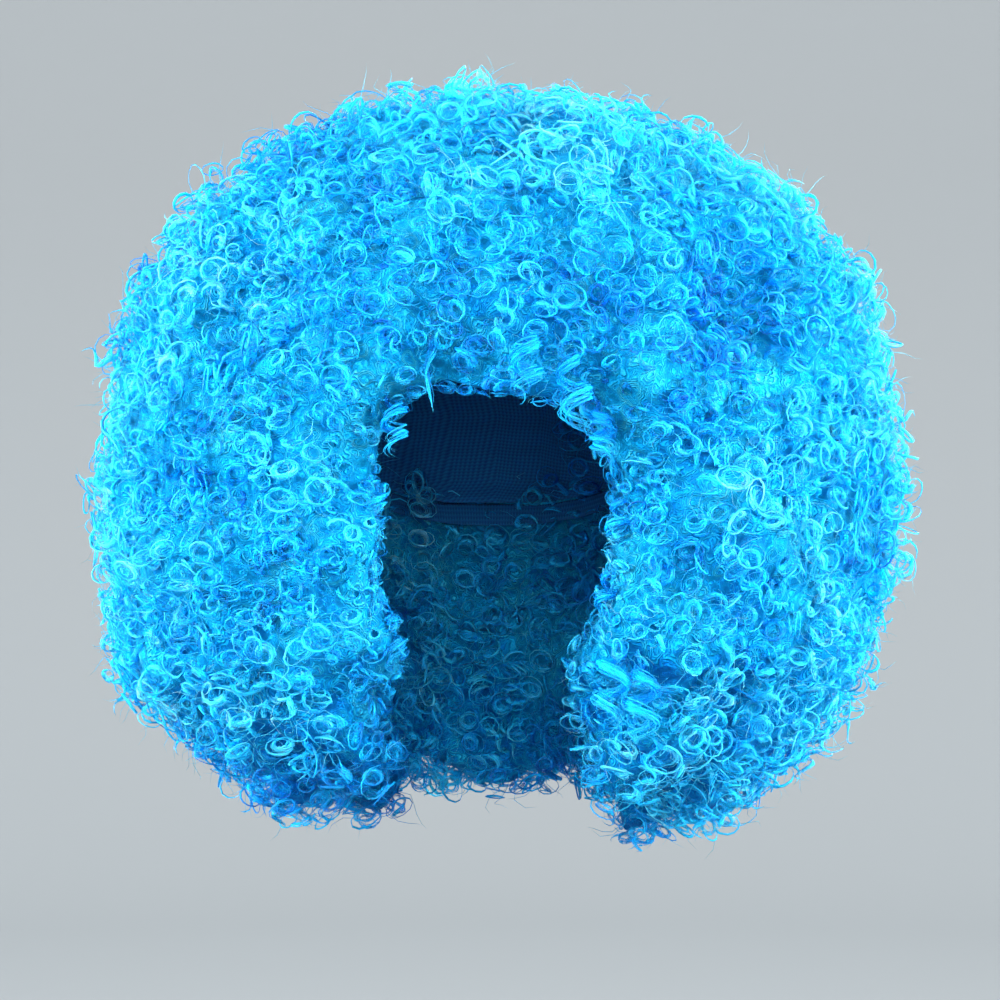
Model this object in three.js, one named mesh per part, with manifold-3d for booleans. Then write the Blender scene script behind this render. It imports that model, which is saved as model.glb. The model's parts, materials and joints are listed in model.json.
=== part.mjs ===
// A big round curly wig as it is worn: eight sewn hair sections on a stretch cap with an elastic rim.
// Millimetres, +Z up. The face looks along -Y, so the wearer's left is at +X.
// The origin is the inside of the cap's crown, the point that sits on the top of the head.
import * as THREE from "three";
import { mergeVertices } from "three/addons/utils/BufferGeometryUtils.js";
import Module from "manifold-3d";

const wasm = await Module();
wasm.setup();

// Walls and gaps
const CAP_WALL = 2.0; // knitted net and elastic
const SEAT_GAP = 0.3; // hair to cap
const SECTION_GAP = 0.6; // between two hair sections, and between net and rim band
const BAND_WIDTH = 12; // elastic rim band

// Head that the cap fits
const HEAD_BREADTH = 152;
const HEAD_LENGTH = 190;
const HEAD_DOME = 96; // crown above the head's widest level
const FACE_HEIGHT = 225; // crown to chin
const HAIRLINE_DROP = 62; // crown to the cap's front edge
const NECK_WIDTH = 118; // room that the hair leaves round the neck
const NECK_LENGTH = 128;

// Hair mass
const HAIR_WIDTH = 416;
const HAIR_OVER_CROWN = 78;
const HAIR_CENTRE_BACK = 20; // how far the mass lies behind the middle of the head

// Curled locks on the dense hair
const LOCK_HEIGHT = 30;
const LOCK_WIDTH = 46;
const LOCK_SPACING = 47.5; // between the middles of two locks, where they are widest
const LOCK_ROOT = 16; // depth of a lock's root in the dense hair
const LOCK_TWIST = 80; // turn of a lock's tip against its foot, in degrees
const LOCK_VARIETY = 0.14; // share by which the smallest lock falls short
const LOCK_SIDES = 5;

// Face opening, seen from the front
const OPENING_WIDTH = 108;
const OPENING_TOP_DROP = 72; // crown to the top of the opening
const OPENING_FLARE = 0.06; // share by which it widens from the face to the outside
const LOCK_TO_OPENING = 9; // from the opening's edge to the middle of the locks beside it

// Ringlets that hang at the face
const RINGLET_COIL = 9; // radius of the coil's centreline
const RINGLET_THICK = 4.6; // radius of the twisted strand
const RINGLET_PITCH = 13;
const RINGLET_SIDES = 5;
const RINGLET_STEPS = 6; // steps in one turn

const HEAD_SIDES = 20;
const BALL_SIDES = 20;
const RIM_STEPS = 12;
const FACE_BEARING = 270; // degrees anticlockwise from the wearer's left, as all bearings
const HAIR_RADIUS = HAIR_WIDTH / 2;

// Outline of the hair from the front, as shares of the hair's radius, anticlockwise from the wearer's left
const FRONT_OUTLINE = [
  { degrees: 0, share: 1.03 },
  { degrees: 30, share: 1.03 },
  { degrees: 60, share: 0.96 },
  { degrees: 90, share: 0.945 },
  { degrees: 120, share: 0.96 },
  { degrees: 150, share: 1.01 },
  { degrees: 180, share: 1.0 },
  { degrees: 210, share: 1.11 },
  { degrees: 240, share: 1.04 },
  { degrees: 270, share: 0.95 },
  { degrees: 300, share: 1.09 },
  { degrees: 330, share: 1.09 },
];

// Outline from the side, in the same way, anticlockwise from the back
const SIDE_OUTLINE = [
  { degrees: 0, share: 0.94 },
  { degrees: 60, share: 0.94 },
  { degrees: 120, share: 0.93 },
  { degrees: 180, share: 0.9 },
  { degrees: 240, share: 0.9 },
  { degrees: 300, share: 1.0 },
];

// Level sections of head and neck under the dome: drop from the crown as a share of the face's height,
// breadth as a share of the head's, front and back reach as shares of half its length
const LOWER_HEAD = [
  { drop: 0.58, breadth: 0.99, front: 1.0, back: 0.96 },
  { drop: 0.73, breadth: 0.94, front: 1.0, back: 0.79 },
  { drop: 0.88, breadth: 0.87, front: 0.97, back: 0.7 },
];

// The cap's edge from the side: place along half the head's length, drop as a share of the face's height
const CAP_EDGE = [
  { along: -0.72, drop: 0.32 },
  { along: -0.5, drop: 0.45 },
  { along: -0.34, drop: 0.53 },
  { along: -0.14, drop: 0.45 },
  { along: 0.05, drop: 0.44 },
  { along: 0.3, drop: 0.56 },
  { along: 0.66, drop: 0.67 },
  { along: 1.2, drop: 0.69 },
];

// Sewn hair sections: polar angle down from the top, and bearing anticlockwise from the wearer's left
const HAIR_SECTIONS = [
  { name: "crown_hair", from: 0, to: 44, start: 0, end: 360 },
  { name: "fringe_hair", from: 44, to: 86, start: 225, end: 315 },
  { name: "left_temple_hair", from: 44, to: 86, start: -45, end: 45 },
  { name: "back_upper_hair", from: 44, to: 86, start: 45, end: 135 },
  { name: "right_temple_hair", from: 44, to: 86, start: 135, end: 225 },
  { name: "left_side_hair", from: 86, to: 166, start: FACE_BEARING - 360, end: 45 },
  { name: "nape_hair", from: 86, to: 166, start: 45, end: 135 },
  { name: "right_side_hair", from: 86, to: 166, start: 135, end: FACE_BEARING },
];

// One curled lock between root and tip: rise and radius as shares of its height and half width
const LOCK_FORM = [
  { rise: 0.34, radius: 1.0 },
  { rise: 0.84, radius: 0.72 },
];

// Edge of the face opening: drop from the crown as a share of the face's height, reach to the wearer's
// right and left as shares of half the opening's width
const OPENING_EDGE = [
  { drop: 0.355, right: 0.52, left: 0.34 },
  { drop: 0.44, right: 0.84, left: 0.66 },
  { drop: 0.56, right: 0.96, left: 0.93 },
  { drop: 0.68, right: 0.96, left: 1.02 },
  { drop: 0.82, right: 0.88, left: 0.88 },
  { drop: 0.98, right: 0.74, left: 0.64 },
  { drop: 1.15, right: 0.88, left: 0.76 },
  { drop: 1.35, right: 1.12, left: 1.04 },
];

// Ringlets over the brow: place across as a share of half the opening's width, turns, lean in degrees
const FRINGE_RINGLETS = [
  { across: -0.56, turns: 1.5, lean: 6 },
  { across: -0.28, turns: 2.2, lean: -14 },
  { across: 0.22, turns: 2.2, lean: 12 },
  { across: 0.52, turns: 1.7, lean: -6 },
];

// Ringlets beside the face: drop from the crown as a share of the face's height, turns, lean in degrees
const SIDE_RINGLETS = [
  { section: "right_side_hair", drop: 0.6, turns: 2.4, lean: 10 },
  { section: "right_side_hair", drop: 0.86, turns: 2.6, lean: 16 },
  { section: "left_side_hair", drop: 0.66, turns: 2.8, lean: -12 },
  { section: "left_side_hair", drop: 0.88, turns: 2.6, lean: -16 },
];

const radians = THREE.MathUtils.degToRad;

// A closed geometry as a manifold solid, with the empty triangles at its poles left out.
function solid(geometry) {
  const bare = geometry.clone();
  bare.deleteAttribute("normal");
  bare.deleteAttribute("uv");
  const merged = mergeVertices(bare, 1e-4);
  const kept = [];
  const corners = merged.index.array;
  for (let i = 0; i < corners.length; i += 3) {
    const [a, b, c] = corners.subarray(i, i + 3);
    if (a !== b && b !== c && c !== a) kept.push(a, b, c);
  }
  return new wasm.Manifold(
    new wasm.Mesh({
      numProp: 3,
      vertProperties: merged.attributes.position.array,
      triVerts: new Uint32Array(kept),
    }),
  );
}

// A named mesh of a manifold solid.
function pieceOf(name, body, material) {
  const mesh = body.getMesh();
  const geometry = new THREE.BufferGeometry();
  geometry.setAttribute("position", new THREE.BufferAttribute(mesh.vertProperties, 3));
  geometry.setIndex(new THREE.BufferAttribute(mesh.triVerts, 1));
  geometry.computeVertexNormals();
  const piece = new THREE.Mesh(geometry, material);
  piece.name = name;
  return piece;
}

// Moves each vertex of a geometry by a function of its place.
function reshape(geometry, place) {
  const position = geometry.attributes.position;
  const point = new THREE.Vector3();
  for (let i = 0; i < position.count; i++) {
    point.fromBufferAttribute(position, i);
    place(point);
    position.setXYZ(i, point.x, point.y, point.z);
  }
  return geometry;
}

// The share at an angle of an outline, on a smooth closed curve through the outline's rows.
function shareAt(outline, degrees) {
  const step = 360 / outline.length;
  const turn = (((degrees % 360) + 360) % 360) / step;
  const row = Math.floor(turn);
  const share = (k) => outline[(k + outline.length) % outline.length].share;
  const t = turn - row;
  const slopeIn = (share(row + 1) - share(row - 1)) / 2;
  const slopeOut = (share(row + 2) - share(row)) / 2;
  return (
    share(row) * (1 + t * t * (2 * t - 3)) +
    share(row + 1) * t * t * (3 - 2 * t) +
    slopeIn * t * (1 - t) * (1 - t) -
    slopeOut * t * t * (1 - t)
  );
}

const hairCentre = new THREE.Vector3(
  0,
  HAIR_CENTRE_BACK,
  HAIR_OVER_CROWN - HAIR_RADIUS * shareAt(FRONT_OUTLINE, 90),
);

// How far the hair reaches from its centre along a unit direction.
function hairReach(direction) {
  const front = shareAt(FRONT_OUTLINE, THREE.MathUtils.radToDeg(Math.atan2(direction.z, direction.x)));
  const side = shareAt(SIDE_OUTLINE, THREE.MathUtils.radToDeg(Math.atan2(direction.z, direction.y)));
  const depth = direction.y * direction.y;
  return HAIR_RADIUS * (front * (1 - depth) + side * depth);
}

// Unit direction at a polar angle from the top and a bearing, both in degrees.
function directionAt(polar, bearing) {
  return new THREE.Vector3(
    Math.sin(radians(polar)) * Math.cos(radians(bearing)),
    Math.sin(radians(polar)) * Math.sin(radians(bearing)),
    Math.cos(radians(polar)),
  );
}

// Head and neck as a solid lofted through level ovals, grown on every side.
function headForm(grow) {
  const halfBreadth = HEAD_BREADTH / 2;
  const halfLength = HEAD_LENGTH / 2;
  const domeSteps = 7;
  const sections = [];
  for (let k = 0; k <= domeSteps; k++) {
    const turn = (k / domeSteps) * (Math.PI / 2);
    sections.push({
      z: (HEAD_DOME + grow) * Math.cos(turn) - HEAD_DOME,
      breadth: (halfBreadth + grow) * Math.sin(turn),
      front: (halfLength + grow) * Math.sin(turn),
      back: (halfLength + grow) * Math.sin(turn),
    });
  }
  for (const row of LOWER_HEAD) {
    sections.push({
      z: -row.drop * FACE_HEIGHT,
      breadth: row.breadth * halfBreadth + grow,
      front: row.front * halfLength + grow,
      back: row.back * halfLength + grow,
    });
  }
  const neck = { breadth: NECK_WIDTH / 2, front: NECK_LENGTH / 2, back: NECK_LENGTH / 2 };
  sections.push({ z: -FACE_HEIGHT, ...neck });
  sections.push({ z: -FACE_HEIGHT - HAIR_WIDTH, ...neck });

  // The lathe's height is the section's number, so each ring finds its own row.
  const profile = sections.map((section, k) => new THREE.Vector2(k ? 1 : 0, -k));
  profile.push(new THREE.Vector2(0, 1 - sections.length));
  const form = new THREE.LatheGeometry(profile.reverse(), HEAD_SIDES);
  return solid(
    reshape(form, (p) => {
      const section = sections[Math.round(-p.y)];
      const reach = p.z > 0 ? section.front : section.back;
      p.set(p.x * section.breadth, -p.z * reach, section.z);
    }),
  );
}

// The cap's edge as points from front to back in the side view, raised by some millimetres.
function capEdge(raise) {
  const front = new THREE.Vector2(-HEAD_LENGTH, raise - HAIRLINE_DROP);
  const brow = new THREE.Vector2(-HEAD_LENGTH / 2, raise - HAIRLINE_DROP);
  const rest = CAP_EDGE.map(
    (row) => new THREE.Vector2((row.along * HEAD_LENGTH) / 2, raise - row.drop * FACE_HEIGHT),
  );
  return [front, ...new THREE.SplineCurve([brow, ...rest]).getPoints(RIM_STEPS)];
}

// A side-view outline as a slab right across the head.
function sideSlab(outline) {
  const depth = HEAD_BREADTH * 2;
  const slab = new THREE.ExtrudeGeometry(new THREE.Shape(outline), { depth, bevelEnabled: false });
  slab.translate(0, 0, -depth / 2);
  const turn = new THREE.Matrix4().makeBasis(
    new THREE.Vector3(0, 1, 0),
    new THREE.Vector3(0, 0, 1),
    new THREE.Vector3(1, 0, 0),
  );
  return solid(slab.applyMatrix4(turn));
}

function capWall() {
  return headForm(CAP_WALL).subtract(headForm(0));
}

function capNet() {
  const edge = capEdge(BAND_WIDTH + SECTION_GAP);
  const top = HEAD_DOME;
  const outline = [
    ...edge,
    new THREE.Vector2(edge.at(-1).x, top),
    new THREE.Vector2(edge[0].x, top),
  ];
  return capWall().intersect(sideSlab(outline));
}

function capBand() {
  return capWall().intersect(sideSlab([...capEdge(0), ...capEdge(BAND_WIDTH).reverse()]));
}

// The opening's edge on one side at a height, as a distance from the middle; 0 above its top.
function openingReach(height, side) {
  const rows = [{ drop: OPENING_TOP_DROP / FACE_HEIGHT, right: 0, left: 0 }, ...OPENING_EDGE];
  const drop = -height / FACE_HEIGHT;
  const below = rows.findIndex((row) => row.drop > drop);
  if (below === 0) return 0;
  if (below < 0) return (rows.at(-1)[side] * OPENING_WIDTH) / 2;
  const [upper, lower] = [rows[below - 1], rows[below]];
  const share = (drop - upper.drop) / (lower.drop - upper.drop);
  return (THREE.MathUtils.lerp(upper[side], lower[side], share) * OPENING_WIDTH) / 2;
}

// The height of the opening's upper edge at a place across.
function openingTop(across) {
  const side = across < 0 ? "right" : "left";
  let height = -OPENING_TOP_DROP;
  while (openingReach(height, side) < Math.abs(across) && height > -FACE_HEIGHT) height -= 1;
  return height;
}

// The way in to the face, as wide as the opening's edge and wider towards the outside.
function faceOpening() {
  const corner = (row, side, sign) =>
    new THREE.Vector2((sign * row[side] * OPENING_WIDTH) / 2, -row.drop * FACE_HEIGHT);
  const foot = OPENING_EDGE.at(-1);
  const sill = -FACE_HEIGHT - HAIR_WIDTH;
  const outline = [
    new THREE.Vector2(corner(foot, "left", 1).x, sill),
    ...OPENING_EDGE.map((row) => corner(row, "left", 1)).reverse(),
    new THREE.Vector2(0, -OPENING_TOP_DROP),
    ...OPENING_EDGE.map((row) => corner(row, "right", -1)),
    new THREE.Vector2(corner(foot, "right", -1).x, sill),
  ];
  const settings = { depth: HAIR_WIDTH, steps: 1, bevelEnabled: false };
  const passage = new THREE.ExtrudeGeometry(new THREE.Shape(outline), settings);
  reshape(passage, (p) => {
    p.x *= 1 + (OPENING_FLARE * p.z) / HAIR_RADIUS;
  });
  const turn = new THREE.Matrix4().makeBasis(
    new THREE.Vector3(1, 0, 0),
    new THREE.Vector3(0, 0, 1),
    new THREE.Vector3(0, -1, 0),
  );
  return solid(passage.applyMatrix4(turn));
}

// The dense hair under the locks: a ball with room for the head, the neck and the face.
function hairBacking() {
  const ball = new THREE.SphereGeometry(1, BALL_SIDES, BALL_SIDES / 2);
  ball.rotateX(Math.PI / 2);
  reshape(ball, (p) => {
    p.normalize();
    p.copy(backingPoint(p));
  });
  return solid(ball)
    .subtract(headForm(CAP_WALL + SEAT_GAP))
    .subtract(faceOpening());
}

// The ring between two cones round the hair's centre, drawn in by half the gap between sections.
function polarRing(from, to) {
  const far = HAIR_WIDTH;
  const inset = SECTION_GAP / 2;
  const upperShift = from > 0 ? -inset / Math.sin(radians(from)) : 0;
  const lowerShift = inset / Math.sin(radians(to));
  const profile = [new THREE.Vector2(0, lowerShift)];
  for (let k = 0; k <= 4; k++) {
    const polar = radians(to + ((from - to) * k) / 4);
    const shift = k < 2 ? lowerShift : upperShift;
    profile.push(new THREE.Vector2(far * Math.sin(polar), far * Math.cos(polar) + shift));
  }
  if (from > 0) profile.push(new THREE.Vector2(0, upperShift));
  const ring = new THREE.LatheGeometry(profile, BALL_SIDES);
  ring.rotateX(Math.PI / 2);
  ring.translate(hairCentre.x, hairCentre.y, hairCentre.z);
  return solid(ring);
}

// The upright wedge between two bearings, drawn in by half the gap between sections.
function bearingWedge(start, end) {
  const far = HAIR_WIDTH;
  const middle = radians((start + end) / 2);
  const half = radians((end - start) / 2);
  const inset = SECTION_GAP / 2 / Math.sin(half);
  const points = [new THREE.Vector2(inset * Math.cos(middle), inset * Math.sin(middle))];
  for (let k = -2; k <= 2; k++) {
    const bearing = middle + (half * k) / 2;
    points.push(
      new THREE.Vector2(far * Math.cos(bearing), far * Math.sin(bearing)).add(points[0]),
    );
  }
  const depth = HAIR_WIDTH * 2;
  const wedge = new THREE.ExtrudeGeometry(new THREE.Shape(points), { depth, bevelEnabled: false });
  wedge.translate(hairCentre.x, hairCentre.y, hairCentre.z - depth / 2);
  return solid(wedge);
}

// A number from 0 to 1 that looks random and is the same in each run.
function scatter(seed) {
  const wave = Math.sin(seed * 127.1 + 11.7) * 43758.5453;
  return wave - Math.floor(wave);
}

// The point of the backing's outside along a direction from the hair's centre.
function backingPoint(direction) {
  const reach = hairReach(direction) - LOCK_HEIGHT;
  return direction.clone().multiplyScalar(reach).add(hairCentre);
}

// The point of the backing's front in line with a place across and a height.
function backingFront(across, height) {
  const side = new THREE.Vector3(across, 0, height).sub(hairCentre);
  const direction = new THREE.Vector3(side.x, -HAIR_RADIUS, side.z);
  for (let pass = 0; pass < 6; pass++) {
    const reach = hairReach(direction.clone().normalize()) - LOCK_HEIGHT;
    const ahead = reach * reach - side.x * side.x - side.z * side.z;
    direction.y = -Math.sqrt(Math.max(ahead, 1));
  }
  return new THREE.Vector3(across, hairCentre.y + direction.y, height);
}

// A corkscrew lock that stands on the dense hair along a direction and ends at the hair's outline.
function lockAt(direction, seed) {
  const width = (LOCK_WIDTH / 2) * (1 - LOCK_VARIETY * scatter(seed));
  const height = LOCK_HEIGHT * (1 - LOCK_VARIETY * scatter(seed + 0.3));
  const rows = LOCK_FORM.map((row) => new THREE.Vector2(row.radius * width, row.rise * height));
  const profile = [new THREE.Vector2(0, -LOCK_ROOT), ...rows, new THREE.Vector2(0, height)];
  const lock = new THREE.LatheGeometry(profile, LOCK_SIDES, scatter(seed + 0.6) * Math.PI);
  const up = new THREE.Vector3(0, 1, 0);
  reshape(lock, (p) => p.applyAxisAngle(up, radians(LOCK_TWIST) * (p.y / height)));
  lock.applyQuaternion(new THREE.Quaternion().setFromUnitVectors(up, direction));
  lock.translate(...backingPoint(direction));
  return solid(lock);
}

// Whether a lock along a direction would hang too far into the face opening or the neck's room.
function inOpening(direction) {
  const foot = backingPoint(direction);
  const clear = LOCK_TO_OPENING / 2;
  const reach = openingReach(foot.z - clear, foot.x < 0 ? "right" : "left");
  const inFace = foot.y < 0 && reach > 0 && Math.abs(foot.x) < reach + clear;
  const neck = Math.hypot(foot.x / (NECK_WIDTH / 2 + clear), foot.y / (NECK_LENGTH / 2 + clear));
  return inFace || (foot.z < -FACE_HEIGHT && neck < 1);
}

// The locks of a section in sewn rows from its upper edge to its lower, each row half a lock off the last.
function locksOf(section) {
  const locks = [];
  const widest = HAIR_RADIUS - LOCK_HEIGHT * (1 - LOCK_FORM[0].rise);
  const spread = section.to - section.from;
  const rows = Math.max(1, Math.round((radians(spread) * widest) / LOCK_SPACING));
  for (let row = 0; row < rows; row++) {
    const polar = section.from + ((row + 0.5) / rows) * spread;
    const circle = widest * Math.sin(radians(polar));
    const degreesFor = (length) => THREE.MathUtils.radToDeg(Math.asin(Math.min(1, length / circle)));
    const whole = section.end - section.start === 360;
    const margin = whole ? 0 : degreesFor(LOCK_WIDTH / 2 + SECTION_GAP);
    const height = hairCentre.z + widest * Math.cos(radians(polar));
    const face = (side) => degreesFor(openingReach(height, side) + LOCK_TO_OPENING);
    const start = section.start + (section.start === FACE_BEARING - 360 ? face("left") : margin);
    const end = section.end - (section.end === FACE_BEARING ? face("right") : margin);
    const steps = Math.max(0, Math.round((radians(end - start) * circle) / LOCK_SPACING));
    const offset = row % 2 || steps === 0 ? 0.5 : 0;
    const count = whole || offset ? Math.max(1, steps) : steps + 1;
    for (let k = 0; k < count; k++) {
      const bearing = start + ((end - start) * (k + offset)) / Math.max(1, steps);
      const direction = directionAt(polar, bearing);
      if (!inOpening(direction)) locks.push(lockAt(direction, polar + bearing * 0.37));
    }
  }
  return locks;
}

class Helix extends THREE.Curve {
  constructor(turns) {
    super();
    this.turns = turns;
  }
  getPoint(t, target = new THREE.Vector3()) {
    const turn = t * this.turns * 2 * Math.PI;
    const open = Math.min(1, t * this.turns);
    return target.set(
      RINGLET_COIL * open * Math.cos(turn),
      RINGLET_COIL * open * Math.sin(turn),
      -RINGLET_PITCH * this.turns * t,
    );
  }
}

// A ringlet that starts in the dense hair's front at a place across and a height, and hangs from there.
function ringlet(row, across, height) {
  const section = new THREE.Shape();
  for (let k = 0; k < RINGLET_SIDES; k++) {
    const turn = (k / RINGLET_SIDES) * 2 * Math.PI;
    const corner = [RINGLET_THICK * Math.cos(turn), RINGLET_THICK * Math.sin(turn)];
    if (k) section.lineTo(...corner);
    else section.moveTo(...corner);
  }
  section.closePath();
  const curl = new THREE.ExtrudeGeometry(section, {
    steps: Math.round(RINGLET_STEPS * row.turns),
    extrudePath: new Helix(row.turns),
    bevelEnabled: false,
  });
  curl.rotateY(radians(-row.lean));
  curl.translate(...backingFront(across, height));
  return solid(curl);
}

// The ringlets of a section, rooted a little way in from the opening's edge.
function ringletsOf(section) {
  const inset = RINGLET_COIL;
  if (section.name === "fringe_hair") {
    return FRINGE_RINGLETS.map((row) => {
      const across = (row.across * OPENING_WIDTH) / 2;
      return ringlet(row, across, openingTop(across) + inset);
    });
  }
  return SIDE_RINGLETS.filter((row) => row.section === section.name).map((row) => {
    const height = -row.drop * FACE_HEIGHT;
    const [side, sign] = section.name === "right_side_hair" ? ["right", -1] : ["left", 1];
    return ringlet(row, sign * (openingReach(height, side) * (1 + OPENING_FLARE) + inset), height);
  });
}

const backing = hairBacking();

// One hair section: its share of the backing, with its locks and ringlets fused on.
function hairSection(section) {
  let body = backing.intersect(polarRing(section.from, section.to));
  if (section.end - section.start < 360) {
    body = body.intersect(bearingWedge(section.start, section.end));
  }
  for (const lock of locksOf(section)) body = body.add(lock);
  for (const curl of ringletsOf(section)) body = body.add(curl);
  return body;
}

const netCloth = new THREE.MeshStandardMaterial({ color: 0x0b5fae, roughness: 0.9, metalness: 0 });
const elastic = new THREE.MeshStandardMaterial({ color: 0x0a4f94, roughness: 0.85, metalness: 0 });
const curlyFibre = new THREE.MeshStandardMaterial({ color: 0x19aff0, roughness: 0.45, metalness: 0 });

const wig = new THREE.Group();
wig.add(pieceOf("cap_net", capNet(), netCloth));
wig.add(pieceOf("cap_band", capBand(), elastic));
for (const section of HAIR_SECTIONS) {
  wig.add(pieceOf(section.name, hairSection(section), curlyFibre));
}

export default wig;
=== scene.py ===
import json
import math

import bmesh
import bpy
import numpy as np
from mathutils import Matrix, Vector, noise
from mathutils.bvhtree import BVHTree


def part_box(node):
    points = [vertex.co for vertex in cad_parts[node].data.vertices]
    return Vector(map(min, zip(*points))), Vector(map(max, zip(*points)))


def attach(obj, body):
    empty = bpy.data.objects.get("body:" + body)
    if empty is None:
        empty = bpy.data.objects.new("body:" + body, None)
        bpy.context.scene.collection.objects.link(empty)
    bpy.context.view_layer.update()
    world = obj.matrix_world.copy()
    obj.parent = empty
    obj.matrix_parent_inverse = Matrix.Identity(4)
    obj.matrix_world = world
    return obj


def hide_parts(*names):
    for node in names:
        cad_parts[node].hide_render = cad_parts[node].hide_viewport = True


# A big round wig of tight blue curls on a stretch net cap. Metres, +Z up, the face looks along -Y.

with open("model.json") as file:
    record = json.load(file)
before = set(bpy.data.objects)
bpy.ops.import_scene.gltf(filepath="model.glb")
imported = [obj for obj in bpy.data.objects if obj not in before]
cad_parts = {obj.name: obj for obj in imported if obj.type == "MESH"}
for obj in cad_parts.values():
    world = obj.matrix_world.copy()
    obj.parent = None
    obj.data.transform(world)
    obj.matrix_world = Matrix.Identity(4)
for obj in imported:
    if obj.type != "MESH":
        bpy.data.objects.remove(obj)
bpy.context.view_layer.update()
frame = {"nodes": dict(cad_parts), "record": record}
MM = 0.001

# Dense hair under the curls
CREASE_FILL = 20 * MM  # creases between the solid locks narrower than twice this are filled
HAIR_INSET = 9 * MM  # from the solid locks' outside to the dense hair
WALL_INSET = 4 * MM  # the same at the walls of the face opening and the hollow
FIRST_VOXEL = 6 * MM
DENSE_VOXEL = 5.4 * MM
CLUMP_SIZE = 36 * MM
CLUMP_RISE = 8 * MM
PATCH_SIZE = 105 * MM
BOTTOM_START = -0.17  # painted shade: the hair is darker from this height
BOTTOM_HEIGHT = -0.3  # down to this one
BOTTOM_PAINTED_SHADE = 0.2
HEAD_MIDDLE = Vector((0.0, 0.01, -0.1))

# Curls
FREE_ROOM = 45 * MM  # hair grows where nothing stands in front of it within this
SAMPLE_COUNT = 90000
CURL_SPACING = 7.6 * MM
WISP_SPACING = 7.2 * MM
SEED = 7

# The view of the photograph
CAMERA_DISTANCE = 1.57
CAMERA_HEIGHT = -0.140
CAMERA_ACROSS = 0.002
VIEW_WIDTH = 0.510  # what the picture spans at the hair's middle
SENSOR = 36.0
FLOOR_HEIGHT = -0.9
STAGE_RADIUS = 5.5
STAGE_BEND = 1.5
STAGE_WALL = 2.1
STAGE_STEPS = 64
BEND_STEPS = 12
FLOOR_GREY = (0.18, 0.183, 0.186)  # under the wig, darker to offset the lamps' pool of light there: painted shade
FLOOR_PALE = (0.6, 0.605, 0.61)  # and all round it, paler where little lamp light reaches: painted light
FLOOR_FADE = (1.8, 3.2)  # from the wig's middle
LIGHTS = [
    dict(name="left", place=(-1.2, -0.6, 0.16), size=0.9, power=42),
    dict(name="right", place=(1.22, -0.58, 0.16), size=0.9, power=44),
    dict(name="front", place=(0.1, -2.2, 0.3), size=1.2, power=13),
    dict(name="back", place=(0.3, 1.3, 0.3), size=1.0, power=24),
]
SKY_COLOR = (0.86, 0.95, 1.0, 1.0)
SKY_STRENGTH = 0.98

rng = np.random.default_rng(SEED)
subparts = frame["record"]["subparts"]
hair_nodes = [row["node"] for row in subparts if row["material_slot"] == "curly_fibre"]
hair_low = Vector([min(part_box(n)[0][k] for n in hair_nodes) for k in range(3)])
hair_high = Vector([max(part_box(n)[1][k] for n in hair_nodes) for k in range(3)])
hair_middle = (hair_low + hair_high) / 2


# Meshes

def new_piece(name, mesh, material, replaced=()):
    piece = bpy.data.objects.new(name, mesh)
    bpy.context.scene.collection.objects.link(piece)
    mesh.materials.clear()
    mesh.materials.append(material)
    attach(piece, "root")
    if replaced:
        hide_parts(*replaced)
    return piece


def solid_copy(nodes):
    """One mesh of some CAD nodes, with the doubles of their loose triangles merged."""
    bm = bmesh.new()
    for node in nodes:
        bm.from_mesh(frame["nodes"][node].data)
    bmesh.ops.remove_doubles(bm, verts=bm.verts, dist=1e-6)
    mesh = bpy.data.meshes.new("solid_copy")
    bm.to_mesh(mesh)
    bm.free()
    return mesh


def finished(mesh, modifiers):
    """The mesh with a list of modifiers applied, each a type and its settings."""
    holder = bpy.data.objects.new("holder", mesh)
    bpy.context.scene.collection.objects.link(holder)
    for kind, settings in modifiers:
        modifier = holder.modifiers.new(kind.lower(), kind)
        for key, value in settings.items():
            setattr(modifier, key, value)
    graph = bpy.context.evaluated_depsgraph_get()
    made = bpy.data.meshes.new_from_object(holder.evaluated_get(graph))
    bpy.data.objects.remove(holder)
    return made


def points_of(mesh):
    co = np.empty(len(mesh.vertices) * 3, np.float32)
    mesh.vertices.foreach_get("co", co)
    return co.reshape(-1, 3).astype(float)


def mesh_from_arrays(name, points, quads, triangles, tone=None, fibre_place=None):
    """A smooth mesh from arrays of places, quads and triangles, with two values at each point."""
    mesh = bpy.data.meshes.new(name)
    mesh.vertices.add(len(points))
    mesh.vertices.foreach_set("co", points.astype(np.float32).ravel())
    corners = np.concatenate([quads.ravel(), triangles.ravel()]).astype(np.int32)
    starts = np.concatenate(
        [np.arange(len(quads)) * 4, len(quads) * 4 + np.arange(len(triangles)) * 3]
    ).astype(np.int32)
    mesh.loops.add(len(corners))
    mesh.loops.foreach_set("vertex_index", corners)
    mesh.polygons.add(len(starts))
    mesh.polygons.foreach_set("loop_start", starts)
    mesh.update(calc_edges=True)
    mesh.validate()
    mesh.shade_smooth()
    if tone is not None:
        layer = mesh.attributes.new("tone", "FLOAT", "POINT")
        layer.data.foreach_set("value", tone.astype(np.float32))
    if fibre_place is not None:
        layer = mesh.attributes.new("fibre_place", "FLOAT_VECTOR", "POINT")
        layer.data.foreach_set("vector", fibre_place.astype(np.float32).ravel())
    return mesh


# Dense hair

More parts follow.
